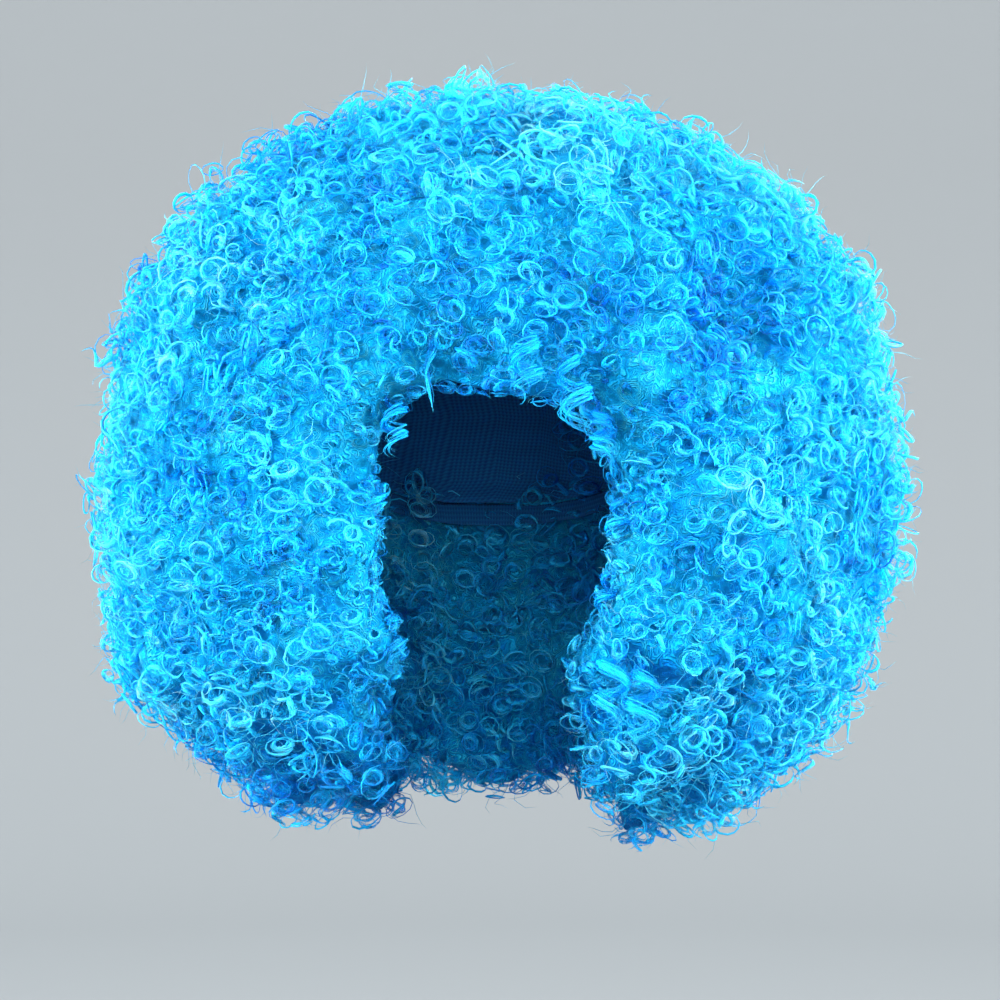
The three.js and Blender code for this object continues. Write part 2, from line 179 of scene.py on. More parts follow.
def dense_hair_mesh():
    """The solid sections as one mass, with the creases between locks filled and all drawn in."""
    remesh = ("REMESH", {"mode": "VOXEL", "voxel_size": FIRST_VOXEL})
    grow = ("DISPLACE", {"strength": CREASE_FILL / 2, "mid_level": 0.0, "direction": "NORMAL"})
    smooth = ("SMOOTH", {"factor": 0.5, "iterations": 6})
    grown = finished(solid_copy(hair_nodes), [remesh, grow, remesh, grow, remesh, smooth])
    points = points_of(grown)
    normals = np.empty(len(points) * 3, np.float32)
    grown.vertex_normals.foreach_get("vector", normals)
    normals = normals.reshape(-1, 3).astype(float)
    outward = np.sum(unit(points - np.array(HEAD_MIDDLE)) * normals, axis=1, keepdims=True)
    inset = WALL_INSET + (HAIR_INSET - WALL_INSET) * np.clip(0.5 + 1.5 * outward, 0, 1)
    points -= normals * (CREASE_FILL + inset)
    grown.vertices.foreach_set("co", points.astype(np.float32).ravel())
    fine_remesh = ("REMESH", {"mode": "VOXEL", "voxel_size": DENSE_VOXEL})
    mesh = finished(grown, [fine_remesh, smooth])
    bm = bmesh.new()
    bm.from_mesh(mesh)
    bm.normal_update()
    for v in bm.verts:
        v.co += v.normal * CLUMP_RISE * clump(v.co)
    bm.to_mesh(mesh)
    bm.free()
    mesh.shade_smooth()
    return mesh


def clump(place):
    """How far the hair stands out at a place, from about -1 to 1."""
    offset = Vector((3.1, 1.7, 5.3))
    small = noise.noise(place / (CLUMP_SIZE * 0.4) - offset)
    return noise.noise(place / CLUMP_SIZE + offset) + 0.4 * small


def patches_and_low_shade(place):
    """How much paler the hair is at a place: wide and small random patches, and darker low down by
    painted shade.
    """
    offset = Vector((7.9, 2.3, 4.1))
    wide = noise.noise(place / PATCH_SIZE + offset)
    # painted shade, from none at BOTTOM_START to full at BOTTOM_HEIGHT
    down = min(max((BOTTOM_START - place.z) / (BOTTOM_START - BOTTOM_HEIGHT), 0.0), 1.0)
    small = noise.noise(place / (PATCH_SIZE * 0.35) - offset)
    return 0.3 * wide + 0.2 * small - BOTTOM_PAINTED_SHADE * down


def tree_of(*meshes):
    points, faces = [], []
    for mesh in meshes:
        start = len(points)
        points.extend(v.co.copy() for v in mesh.vertices)
        faces.extend([start + k for k in p.vertices] for p in mesh.polygons)
    return BVHTree.FromPolygons(points, faces)


# Shapes of curls

def spread(low, high, count):
    return rng.uniform(low, high, count)


def unit(v):
    return v / np.maximum(np.linalg.norm(v, axis=-1, keepdims=True), 1e-12)


def across(axis):
    """Two unit vectors square to each axis."""
    helper = np.where(np.abs(axis[..., 2:3]) < 0.8, [[0.0, 0.0, 1.0]], [[1.0, 0.0, 0.0]])
    first = unit(np.cross(axis, helper))
    return first, np.cross(axis, first)


def round_axis(angle, first, second, squash):
    """The way out from an axis at each angle round it, shorter along the second vector."""
    cos, sin = np.cos(angle)[..., None], np.sin(angle)[..., None]
    return cos * first[:, None] + squash * sin * second[:, None]


def flat_rings(paths, along, thick, wide, guide, tilt):
    """Three corners round each step of flat strands (strand, step, corner, 3)."""
    side = unit(guide - np.sum(guide * along, axis=-1, keepdims=True) * along)
    other = np.cross(along, side)
    cos, sin = np.cos(tilt)[:, None, None], np.sin(tilt)[:, None, None]
    side, other = cos * side + sin * other, cos * other - sin * side
    corners = []
    for k in range(3):
        turn = 2 * math.pi * k / 3
        out = math.cos(turn) * side * thick[..., None] + math.sin(turn) * other * wide[..., None]
        corners.append(paths + out)
    return np.stack(corners, axis=2)


SIDEWAYS = [0.5, 1.0, 0.0]  # where each corner lies across a flat strand
FINE = 1000  # strands with a number from this on have no gaps between their fibres


def bands(paths, thick, wide, guide, tilt, tone, first_number):
    """Closed flat strands along paths (strand, step, 3), pointed at both ends."""
    strands, steps = paths.shape[:2]
    along = unit(np.gradient(paths, axis=1))
    ring = flat_rings(paths, along, thick, wide, guide, tilt)[:, 1:-1].reshape(strands, -1, 3)
    points = np.concatenate([paths[:, :1], ring, paths[:, -1:]], axis=1)
    per = points.shape[1]
    base = (np.arange(strands) * per)[:, None, None]
    j = np.arange(steps - 3)[:, None]
    k = np.arange(3)[None, :]
    a = 1 + j * 3 + k
    b = 1 + j * 3 + (k + 1) % 3
    quad = np.stack([a, b, b + 3, a + 3], axis=-1).reshape(1, -1, 4)
    root = np.stack([np.zeros(3, int), 1 + (np.arange(3) + 1) % 3, 1 + np.arange(3)], axis=-1)
    last = per - 1
    tip = np.stack(
        [np.full(3, last), last - 3 + np.arange(3), last - 3 + (np.arange(3) + 1) % 3], axis=-1
    )
    tri = np.concatenate([root, tip])[None]

    def to_points(values):
        inside = np.repeat(values[:, 1:-1], 3, axis=1)
        return np.concatenate([values[:, :1], inside, values[:, -1:]], axis=1)

    step_length = np.linalg.norm(np.diff(paths, axis=1, prepend=paths[:, :1]), axis=-1)
    sideways = np.tile([0.5] + SIDEWAYS * (steps - 2) + [0.5], (strands, 1))
    length = to_points(np.cumsum(step_length, axis=1) / MM)
    number = np.broadcast_to(first_number + spread(0, 100, strands)[:, None], length.shape)
    return (
        points.reshape(-1, 3),
        (quad + base).reshape(-1, 4),
        (tri + base).reshape(-1, 3),
        to_points(tone).reshape(-1),
        np.stack([sideways, length, number], axis=-1).reshape(-1, 3),
    )


def loops(middle, axis, form, tone):
    """Closed flat rings round middles: middle and axis (n, 3), form and tone one value a ring."""
    count, steps = len(middle), form["steps"]
    first, second = across(axis)
    phase = spread(0, 2 * math.pi, count)[:, None]
    angle = 2 * math.pi * np.arange(steps)[None, :] / steps
    squash = spread(0.72, 1.0, count)[:, None, None]
    out = round_axis(angle, first, second, squash)
    reach = form["radius"][:, None] * (1 + 0.1 * np.sin(2 * angle + phase))
    lift = 0.35 * form["radius"][:, None] * np.sin(angle + phase)
    paths = middle[:, None] + out * reach[..., None] + axis[:, None] * lift[..., None]
    along = unit(np.roll(paths, -1, axis=1) - np.roll(paths, 1, axis=1))
    thinner = 0.75 + 0.25 * np.cos(angle - phase)
    thick = form["thick"][:, None] * thinner
    points = flat_rings(paths, along, thick, form["wide"][:, None] * thinner, out, form["tilt"])
    per = steps * 3
    j = np.arange(steps)[:, None] * 3
    k = np.arange(3)[None, :]
    a, b = j + k, j + (k + 1) % 3
    quad = np.stack([a, b, (b + 3) % per, (a + 3) % per], axis=-1).reshape(1, -1, 4)
    quad = quad + (np.arange(count) * per)[:, None, None]
    there_and_back = np.abs(angle - math.pi) * form["radius"][:, None] / MM
    length = np.repeat(there_and_back, 3, axis=1)
    number = np.broadcast_to(form["first_number"] + spread(0, 100, count)[:, None], length.shape)
    sideways = np.tile(SIDEWAYS * steps, (count, 1))
    shade = np.repeat(tone[:, None] + 0.12 * np.cos(angle - phase), 3, axis=1)
    return (
        points.reshape(-1, 3),
        quad.reshape(-1, 4),
        np.empty((0, 3), int),
        shade.reshape(-1),
        np.stack([sideways, length, number], axis=-1).reshape(-1, 3),
    )


def coils(root, axis, form, shaded_root_tone, lit_tip_tone):
    """Flat strands that coil round their own axes: root and axis (n, 3), form a value a strand."""
    count = len(root)
    t = np.linspace(0, 1, form["steps"])[None, :]
    first, second = across(axis)
    phase = form.get("phase", rng.uniform(0, 2 * math.pi, count))[:, None]
    hand = form.get("hand", rng.choice([-1.0, 1.0], count))[:, None]
    angle = phase + hand * 2 * math.pi * form["turns"][:, None] * t
    swell = np.clip(t * form["opening"], 0, 1)
    wave = 1 + 0.13 * np.sin(spread(3, 9, count)[:, None] * t + phase)
    reach = form["radius"][:, None] * (0.2 + 0.8 * swell * (2 - swell)) * (1 - 0.3 * t * t) * wave
    squash = spread(0.68, 1.0, count)[:, None, None]
    out = round_axis(angle, first, second, squash)
    lean = unit(rng.normal(size=(count, 3)))[:, None] * (form["drift"] * t * t)[..., None]
    rise = axis[:, None] * (form["rise"][:, None] * t)[..., None]
    paths = root[:, None] + rise + out * reach[..., None] + lean
    taper = np.clip(5 * t, 0.3, 1) * np.clip(2.4 * (1 - t), 0.12, 1)
    # painted shade and light: each strand is darker at its root and paler at its tip
    tone = shaded_root_tone[:, None] + (lit_tip_tone - shaded_root_tone)[:, None] * t
    thick = form["thick"][:, None] * (0.5 + 0.5 * taper)
    wide = form["wide"][:, None] * taper
    return bands(paths, thick, wide, out, form["tilt"], tone, form.get("first_number", 0))


def surface_samples(mesh, tree, count):
    """Points spread over the free outside of a mesh, with their normals."""
    mesh.calc_loop_triangles()
    tri = np.empty(len(mesh.loop_triangles) * 3, np.int32)
    mesh.loop_triangles.foreach_get("vertices", tri)
    tri = tri.reshape(-1, 3)
    co = points_of(mesh)
    a, b, c = co[tri[:, 0]], co[tri[:, 1]], co[tri[:, 2]]
    normal = np.cross(b - a, c - a)
    area = np.linalg.norm(normal, axis=1)
    chosen = rng.choice(len(tri), count, p=area / area.sum())
    u, v = rng.random((2, count, 1))
    flip = u + v > 1
    u, v = np.where(flip, 1 - u, u), np.where(flip, 1 - v, v)
    points = a[chosen] + u * (b - a)[chosen] + v * (c - a)[chosen]
    normals = unit(normal[chosen])
    free = np.array(
        [
            tree.ray_cast(Vector(p) + Vector(n) * MM, Vector(n), FREE_ROOM)[0] is None
            for p, n in zip(points, normals)
        ]
    )
    return points[free], normals[free]


def spaced(points, gap):
    """Indices of points that lie a gap or more from each other."""
    kept = []
    places = np.empty((len(points), 3))
    for k, p in enumerate(points):
        taken = places[: len(kept)]
        if not len(kept) or np.min(np.sum((taken - p) ** 2, axis=1)) > gap * gap:
            places[len(kept)] = p
            kept.append(k)
    return np.array(kept)


def toward_ground(vectors, share):
    return unit(vectors + np.array([0.0, 0.0, -share]))


# Shader helper

class Socket:
    """Wraps a socket so that sums and products of sockets add their Math nodes."""

    def __init__(self, shader, socket):
        self.shader = shader
        self.socket = socket

    def _math(self, operation, *values):
        return self.shader.node("ShaderNodeMath", {"operation": operation}, values)

    def __add__(self, other):
        return self._math("ADD", self, other)

    def __sub__(self, other):
        return self._math("SUBTRACT", self, other)

    def __mul__(self, other):
        return self._math("MULTIPLY", self, other)

    def __rsub__(self, other):
        return self._math("SUBTRACT", other, self)

    __radd__ = __add__
    __rmul__ = __mul__

    def sine(self):
        return self._math("SINE", self)

    def absolute(self):
        return self._math("ABSOLUTE", self)

    def maximum(self, other):
        return self._math("MAXIMUM", self, other)

    def between(self, low, high):
        """0 below low, 1 above high, smooth in between."""
        return self.shader.node(
            "ShaderNodeMapRange",
            {"interpolation_type": "SMOOTHSTEP", "clamp": True},
            {"Value": self, "From Min": low, "From Max": high},
        )


class Shader:
    """A material whose nodes come from one method."""

    def __init__(self, name, **constants):
        self.material = bpy.data.materials.new(name)
        self.material.use_nodes = True
        self.tree = self.material.node_tree
        self.surface = self.tree.nodes["Principled BSDF"]
        for key, value in constants.items():
            self.surface.inputs[key.replace("_", " ")].default_value = value

    def node(self, kind, settings=None, inputs=None, output=0):
        made = self.tree.nodes.new(kind)
        for key, value in (settings or {}).items():
            if key == "stops":
                self._stops(made.color_ramp, value)
            else:
                setattr(made, key, value)
        named = inputs.items() if isinstance(inputs, dict) else enumerate(inputs or ())
        for key, value in named:
            self.feed(made.inputs[key], value)
        return Socket(self, made.outputs[output])

    def feed(self, target, value):
        if isinstance(value, Socket):
            self.tree.links.new(value.socket, target)
        else:
            target.default_value = value

    def _stops(self, ramp, stops):
        while len(ramp.elements) < len(stops):
            ramp.elements.new(0.5)
        for element, (place, color) in zip(ramp.elements, stops):
            element.position = place
            element.color = (*color, 1.0)

    def mix(self, factor, first, second):
        made = self.tree.nodes.new("ShaderNodeMix")
        made.data_type = "RGBA"
        self.feed(made.inputs[0], factor)
        for target, value in ((made.inputs[6], first), (made.inputs[7], second)):
            self.feed(target, value if isinstance(value, Socket) else (*value, 1.0))
        return Socket(self, made.outputs[2])

    def vector(self, operation, *values, output=0):
        return self.node("ShaderNodeVectorMath", {"operation": operation}, values, output)

    def noise(self, place, scale, detail=2.0, output=0):
        return self.node(
            "ShaderNodeTexNoise", {}, {"Vector": place, "Scale": scale, "Detail": detail}, output
        )

    def finish(self, **values):
        for key, value in values.items():
            self.feed(self.surface.inputs[key.replace("_", " ")], value)
        return self.material

    def bump(self, height, strength, distance):
        return self.node(
            "ShaderNodeBump", {}, {"Height": height, "Strength": strength, "Distance": distance}
        )


# Finishes

NIGHT_BLUE = (0.0004, 0.10, 0.56)
DEEP_BLUE = (0.0006, 0.27, 0.82)
BRIGHT_BLUE = (0.003, 0.49, 0.96)
SKY_BLUE = (0.035, 0.66, 1.0)
PALE_CYAN = (0.24, 0.8, 1.0)
GLOSS_TINT = (0.55, 0.85, 1.0, 1.0)
FIBRE_STRETCH = (4.0, 0.16, 3.7)  # of the noise: across a strand, along it, from strand to strand
FIBRES_ACROSS = 40.0
FIBRE_WANDER = 22.0
GAP_EDGES = (0.34, 0.42)  # a gap between fibres ends between these heights of the streaks
LOOSE_STRANDS = 6200.0
RING_RADIUS = 0.36  # of the rings of strands in the dense hair, in cells
RING_THINNESS = 4.2
RING_STRANDS = 76.0
RING_LAYERS = [(74.0, (0, 0, 0)), (90.0, (0.3, 0.7, 0.2)), (63.0, (0.9, 0.1, 0.6))]
BLUES = [
    (0.0, NIGHT_BLUE),
    (0.25, DEEP_BLUE),
    (0.5, BRIGHT_BLUE),
    (0.75, SKY_BLUE),
    (1.0, PALE_CYAN),
]


def object_place(shader):
    return shader.node("ShaderNodeTexCoord", output=3)


def fibre_finish():
    """Bundles of glossy synthetic fibres, darkened at the roots by painted shade and paler towards
    the tips by painted light.
    """
    shader = Shader(
        "curly_fibre",
        Specular_Tint=GLOSS_TINT,
        Specular_IOR_Level=0.5,
        IOR=1.45,
        Subsurface_Weight=1.0,
        Subsurface_Radius=(0.2, 0.8, 1.0),
        Subsurface_Scale=3 * MM,
    )
    shader.surface.subsurface_method = "BURLEY"
    tone = shader.node("ShaderNodeAttribute", {"attribute_name": "tone"}, output=2)
    along = shader.node("ShaderNodeAttribute", {"attribute_name": "fibre_place"}, output=1)
    parts = shader.node("ShaderNodeSeparateXYZ", {}, [along])
    wander = shader.noise(shader.vector("MULTIPLY", along, FIBRE_STRETCH), 1.0, 0.0)
    streak = (parts * FIBRES_ACROSS + wander * FIBRE_WANDER).sine() * 0.26 + wander * 0.9 + 0.05
    edge = (parts - 0.5).absolute() * 2.0
    fine = shader.node("ShaderNodeSeparateXYZ", {}, [along], 2).between(FINE - 1, FINE)
    shade = tone + (streak - 0.5) * 0.4
    return shader.finish(
        Base_Color=shader.node("ShaderNodeValToRGB", {"stops": BLUES}, [shade]),
        Roughness=0.34 + streak * 0.25,
        Alpha=(streak - edge * edge * 0.14).between(*GAP_EDGES).maximum(fine),
        Normal=shader.bump(streak, 0.6, 0.0006),
    )


def dense_finish():
    """Packed curls in the shade: layers of rings of fine strands, with painted shade in the dark
    gaps between them.
    """
    shader = Shader("dense_fibre", Specular_Tint=GLOSS_TINT, Specular_IOR_Level=0.2, IOR=1.3)
    place = object_place(shader)
    wander = shader.vector("MULTIPLY", shader.noise(place, 150.0, 0.0, output=1), (0.007,) * 3)
    bent = shader.vector("ADD", place, wander)
    fleck = shader.noise(place, 800.0, 0.0)
    turned = shader.vector("ADD", place, shader.vector("MULTIPLY", wander, (4.0,) * 3))
    over = shader.vector("DOT_PRODUCT", turned, (0.6, 0.5, 0.62), output=1)
    height = (over * LOOSE_STRANDS + fleck * 5.0).sine() * 0.16 + 0.2
    for scale, shift in RING_LAYERS:
        cells = {"Vector": shader.vector("ADD", bent, shift), "Scale": scale}
        away = shader.node("ShaderNodeTexVoronoi", {}, cells)
        color = shader.node("ShaderNodeTexVoronoi", {}, cells, output=1)
        own = shader.node("ShaderNodeSeparateColor", {}, [color])
        band = 1.0 - (away - RING_RADIUS).absolute() * RING_THINNESS
        strand = (away * RING_STRANDS + fleck * 4.0).sine()
        ring = (band * (0.7 + strand * 0.3)).between(0.0, 1.0) * (0.55 + own * 0.6)
        height = height.maximum(ring)
    wide = shader.noise(place, 30.0, 0.0)
    # painted shade: darker in the gaps between the rings, and darker low down
    low = shader.node("ShaderNodeSeparateXYZ", {}, [place], 2).between(BOTTOM_HEIGHT, BOTTOM_START)
    shade = height * 0.42 + 0.31 - BOTTOM_PAINTED_SHADE + (fleck - 0.5) * 0.25 + (wide - 0.5) * 0.4
    shade = shade + low * BOTTOM_PAINTED_SHADE
    return shader.finish(
        Base_Color=shader.node("ShaderNodeValToRGB", {"stops": BLUES}, [shade]),
        Roughness=0.5 + fleck * 0.2,
        Normal=shader.bump(height, 1.0, 0.003),
    )


def cloth_finish(name, color, thread, across_scale, along_scale):
    """Knitted or ribbed cloth drawn in the piece's own cloth_place, in threads of a set colour."""
    shader = Shader(name, Roughness=0.85, Specular_Tint=GLOSS_TINT)
    cloth = shader.node("ShaderNodeAttribute", {"attribute_name": "cloth_place"}, output=1)
    parts = shader.node("ShaderNodeSeparateXYZ", {}, [cloth])
    down = shader.node("ShaderNodeSeparateXYZ", {}, [cloth], 1)
    rib = (parts * across_scale).sine() * 0.5 + 0.5
    row = (down * along_scale + rib * 1.6).sine() * 0.5 + 0.5
    knit = rib * 0.5 + row * 0.5
    worn = shader.noise(object_place(shader), 40.0)
    return shader.finish(
        Base_Color=shader.mix(knit * 0.8 + worn * 0.2, color, thread),
        Normal=shader.bump(knit, 0.8, 0.0004),
    )


fibre = fibre_finish()
dense_fibre = dense_finish()
net_cloth = cloth_finish("net_cloth", (0.002, 0.05, 0.2), (0.01, 0.2, 0.5), 2.6, 3.6)
elastic = cloth_finish("elastic", (0.002, 0.06, 0.22), (0.008, 0.17, 0.42), 4.2, 2.4)

# Hair

dense = dense_hair_mesh()
new_piece("dense_hair", dense, dense_fibre, hair_nodes)
cap_meshes = [frame["nodes"][n].data for n in ("cap_net", "cap_band")]
hair_tree = tree_of(dense, *cap_meshes)
samples, normals = surface_samples(dense, hair_tree, SAMPLE_COUNT)

# The solid section that each point of the hair belongs to
section_tree = {n: tree_of(frame["nodes"][n].data) for n in hair_nodes}


def section_of(points):
    names = np.array(hair_nodes)
    away = np.array(
        [[section_tree[n].find_nearest(Vector(p))[3] for n in hair_nodes] for p in points]
    )
    return names[np.argmin(away, axis=1)]


# Curls in each tuft: points a strand, turns (none on a closed ring), then radius, rise over the
# dense hair, half width and half thickness in millimetres, lean of the axis, tilt of the flat
# strand from lying round the curl to lying across it with its spread, and how much paler than
# the tuft, a painted highlight. A first number of FINE keeps the strands whole, with no gaps
# between their fibres.
RING = [
    dict(
        steps=11, turns=None, radius=(3.8, 5.4), rise=(1, 9), wide=(1.8, 3.0),
        thick=(0.25, 0.4), lean=0.7, tilt=(1.3, 0.25), paler_for_highlight=0.0,
    ),
    dict(
        steps=11, turns=None, radius=(5.4, 8.2), rise=(3, 12), wide=(0.4, 1.1),
        thick=(0.2, 0.35), lean=0.7, tilt=(0.5, 0.5), paler_for_highlight=0.02, first_number=FINE,
    ),
]
CORKSCREW = [
    dict(
        steps=20, turns=(1.6, 2.3), radius=(4.2, 6.6), rise=(12, 22), wide=(1.5, 2.8),
        thick=(0.3, 0.5), lean=1.4, tilt=(0.35, 0.4), paler_for_highlight=0.0,
    ),
]
WISP = [
    dict(
        steps=7, turns=(0.5, 1.1), radius=(4.0, 9.0), rise=(12, 25), wide=(0.14, 0.2),
        thick=(0.14, 0.2), lean=0.9, tilt=(0.9, 0.6), paler_for_highlight=0.14, first_number=FINE,
    ),
]
RING_SHARE = 0.62
TONE = 0.5  # a tuft's place among the blues
TONE_SPREAD = 0.07
SIZE_PAINTED_LIGHT = 0.35  # painted light: tufts that stand out are paler, and those in hollows darker
OPENING_BACK = -0.03  # hair nearer the front than this is at the face opening
FACE_LOW = -0.2
FACE_HIGH = -0.115
FACE_ROOM = 80 * MM  # from the middle of the opening to the curls on its walls
SHORT = 0.35  # curls on the walls of the face opening, beside the others


def shortness(points, directions):
    """1 for most curls, and less for those that point into the face opening."""
    middle = points.copy()
    middle[:, 0] = 0
    middle[:, 2] = np.clip(points[:, 2], FACE_LOW, FACE_HIGH)
    inward = np.sum(unit(middle - points) * directions, axis=1)
    away = np.linalg.norm(middle - points, axis=1)
    at_face = (points[:, 1] < OPENING_BACK) & (away < FACE_ROOM)
    return np.where(at_face, 1 - (1 - SHORT) * np.clip(inward * 2, 0, 1), 1)


def tufts(kinds, points, directions):
    """Curls round shared middles, one of each kind for each point."""
    n = len(points)
    lean = unit(rng.normal(size=(n, 3)))
    size = 1 + 0.25 * np.array([clump(Vector(p)) for p in points])
    # painted light: paler where the hair stands out; then random paler patches and painted shade
    # low down
    tone = TONE + TONE_SPREAD * rng.normal(size=n) + SIZE_PAINTED_LIGHT * (size - 1)
    tone = tone + [patches_and_low_shade(Vector(p)) for p in points]
    height = rng.random(n)
    short = shortness(points, directions)
    made = []
    for kind in kinds:
        axis = toward_ground(unit(directions + lean * kind["lean"]), 0.15)
        outward = np.sum(axis * directions, axis=1, keepdims=True)
        axis = unit(axis + directions * np.maximum(0.15 - outward, 0))
        axis = unit(axis + rng.normal(size=(n, 3)) * 0.12)
        form = {"steps": kind["steps"], "first_number": kind.get("first_number", 0)}
        form |= {"opening": 2.6, "drift": 3 * MM, "tilt": rng.normal(*kind["tilt"], n)}
        for key in ("radius", "wide", "thick"):
            form[key] = spread(*kind[key], n) * MM
        low, high = kind["rise"]
        form["rise"] = (low + (high - low) * height) * size * short * MM
        form["radius"] *= 0.4 + 0.6 * short
        root = points + rng.normal(size=(n, 3)) * 0.9 * MM
        # painted highlight: rims and wisps are paler than their tuft
        paler_for_highlight = tone + kind["paler_for_highlight"]
        if kind["turns"] is None:
            made.append(loops(root + directions * form["rise"][:, None], axis, form, paler_for_highlight))
        else:
            form["turns"] = spread(*kind["turns"], n)
            root -= directions * 2 * MM
            # painted shade at the roots and painted light at the tips
            shaded_root_tone = paler_for_highlight - spread(0.1, 0.2, n)
            made.append(coils(root, axis, form, shaded_root_tone, paler_for_highlight + spread(0.05, 0.2, n)))
    return made


def join_parts(parts):
    points, quads, triangles, tones, places = [], [], [], [], []
    start = 0
    for p, q, t, tone, place in parts:
        points.append(p)
        quads.append(q + start)
        triangles.append(t + start)
        tones.append(tone)
        places.append(place)
        start += len(p)
    return [np.concatenate(rows) for rows in (points, quads, triangles, tones, places)]


# Cap

CAP_EYE = Vector((0.0, 0.0, -0.096))  # every ray from here meets the cap's wall once
CAP_COLUMNS = 96
NET_ROWS = 76
BAND_ROWS = 9
WEFT_GAP = 12 * MM
WEFT_RISE = 1.1 * MM
BAND_RISE = 0.5 * MM
BAND_RADIUS = 80  # millimetres, for the elastic's ribs
POLE_HOLE = 0.004  # polar angle of the net's first row
POLAR_STEP = 0.02
EDGE_HALVINGS = 18


def wall_hit(tree, polar, bearing):
    """Inner and outer point of a wall on a ray from the cap's eye, or None past its edge."""
    side = math.sin(polar)
    way = Vector((side * math.cos(bearing), side * math.sin(bearing), math.cos(polar)))
    inner = tree.ray_cast(CAP_EYE, way)[0]
    if inner is None:
        return None
    outer = tree.ray_cast(inner + way * 0.1 * MM, way)[0]
    return (inner, outer) if outer is not None else None


def edge_polar(tree, bearing, inside, outside):
    """The polar angle at which the wall ends, between one inside it and one outside."""
    for _ in range(EDGE_HALVINGS):
        middle = (inside + outside) / 2
        if wall_hit(tree, middle, bearing):
            inside = middle
        else:
            outside = middle
    return inside


def cloth_piece(name, node, rows, from_pole, relief, finish):
    """A closed cloth shell over a cap node's wall: rows from its upper edge to its lower."""
    tree = tree_of(frame["nodes"][node].data)
    inner, outer, places = [], [], []
    for column in range(CAP_COLUMNS):
        bearing = 2 * math.pi * column / CAP_COLUMNS
        start = POLE_HOLE
        if not from_pole:
            tries = np.arange(0.3, 2.6, POLAR_STEP)
            start = next(p for p in tries if wall_hit(tree, p, bearing))
            start = edge_polar(tree, bearing, start, start - POLAR_STEP)
        seek = start
        while wall_hit(tree, seek + POLAR_STEP, bearing):
            seek += POLAR_STEP
        end = edge_polar(tree, bearing, seek, seek + POLAR_STEP)
        length = 0.0
        last = None
        for row in range(rows):
            near, far = wall_hit(tree, start + (end - start) * row / (rows - 1), bearing)
            length += (near - last).length if last else 0.0
            last = near
            way = (far - near).normalized()
            inner.append(near - way * relief(length, row))
            outer.append(far + way * relief(length, row))
            reach = near.xy.length / MM if from_pole else BAND_RADIUS
            places.append((bearing * reach, length / MM, 0))
    points = np.array([*inner, *outer])
    count = CAP_COLUMNS * rows
    column, row = np.meshgrid(np.arange(CAP_COLUMNS), np.arange(rows - 1), indexing="ij")
    a = column * rows + row
    b = (column + 1) % CAP_COLUMNS * rows + row
    wall_in = np.stack([a, b, b + 1, a + 1], axis=-1).reshape(-1, 4)
    wall_out = np.stack([a, a + 1, b + 1, b], axis=-1).reshape(-1, 4) + count
    k = np.arange(CAP_COLUMNS) * rows
    n = (np.arange(CAP_COLUMNS) + 1) % CAP_COLUMNS * rows
    foot = rows - 1
    lower = np.stack([k + foot, n + foot, n + foot + count, k + foot + count], axis=-1)
    upper = np.stack([n, k, k + count, n + count], axis=-1)
    triangles = np.empty((0, 3), int)
    quads = [wall_in, wall_out, lower]
    if from_pole:
        poles = [points[k].mean(axis=0), points[k + count].mean(axis=0)]
        points = np.concatenate([points, poles])
        places = [*places, *places, (0, 0, 0), (0, 0, 0)]
        top = 2 * count
        triangles = np.concatenate(
            [
                np.stack([n, k, np.full(CAP_COLUMNS, top)], axis=-1),
                np.stack([k + count, n + count, np.full(CAP_COLUMNS, top + 1)], axis=-1),
            ]
        )
    else:
        places = [*places, *places]
        quads.append(upper)
    mesh = mesh_from_arrays(name, points, np.concatenate(quads), triangles)
    layer = mesh.attributes.new("cloth_place", "FLOAT_VECTOR", "POINT")
    layer.data.foreach_set("vector", np.array(places, np.float32).ravel())
    return new_piece(name, mesh, finish, [node])


def weft_relief(length, row):
    """Rows of sewn wefts stand out from the net."""
    return WEFT_RISE * max(0.0, math.cos(2 * math.pi * length / WEFT_GAP)) ** 6 if row > 2 else 0.0


def band_relief(length, row):
    """The elastic is thickest along its middle and thin at both edges."""
    return BAND_RISE * math.sin(math.pi * row / (BAND_ROWS - 1))


cloth_piece("stretch_net", "cap_net", NET_ROWS, True, weft_relief, net_cloth)
cloth_piece("elastic_rim", "cap_band", BAND_ROWS, False, band_relief, elastic)


# Ringlets at the face

# Place across and height of the root, how far it starts in front of the dense hair, lean to the
# wearer's left, length and radius in millimetres
RINGLETS = [
    dict(across=-27, height=-68, front=2, lean=-4, length=30, turns=0.7, radius=4.0, strands=5),
    dict(across=-12, height=-67, front=2, lean=-2, length=16, turns=2.0, radius=6.8, strands=6),
    dict(across=13, height=-64, front=8, lean=2, length=26, turns=1.9, radius=9.4, strands=16),
    dict(across=34, height=-72, front=5, lean=4, length=38, turns=2.3, radius=8.8, strands=14),
    dict(across=48, height=-98, front=4, lean=2, length=24, turns=2.0, radius=7.0, strands=10),
    dict(across=-48, height=-92, front=4, lean=3, length=26, turns=2.2, radius=7.6, strands=12),
    dict(across=-52, height=-130, front=3, lean=4, length=26, turns=2.4, radius=7.0, strands=9),
    dict(across=-50, height=-192, front=5, lean=8, length=30, turns=2.4, radius=8.0, strands=12),
    dict(across=56, height=-138, front=3, lean=-6, length=26, turns=2.4, radius=7.0, strands=9),
    dict(across=50, height=-172, front=5, lean=-6, length=24, turns=2.2, radius=6.6, strands=10),
    dict(across=56, height=-206, front=7, lean=-5, length=38, turns=2.4, radius=8.6, strands=14),
    dict(across=68, height=-214, front=7, lean=-2, length=38, turns=2.5, radius=8.6, strands=14),
]
RINGLET_STEPS = 30


def front_root(row):
    """Where a lock starts: on the hair's front, or outward of its place where that is open."""
    outward = math.copysign(1.0, row["across"])
    for k in range(40):
        eye = Vector(((row["across"] + outward * k) * MM, -1.0, row["height"] * MM))
        root = hair_tree.ray_cast(eye, Vector((0, 1, 0)))[0]
        if root is not None and root.y < OPENING_BACK:
            return root - Vector((0, row["front"] * MM, 0))


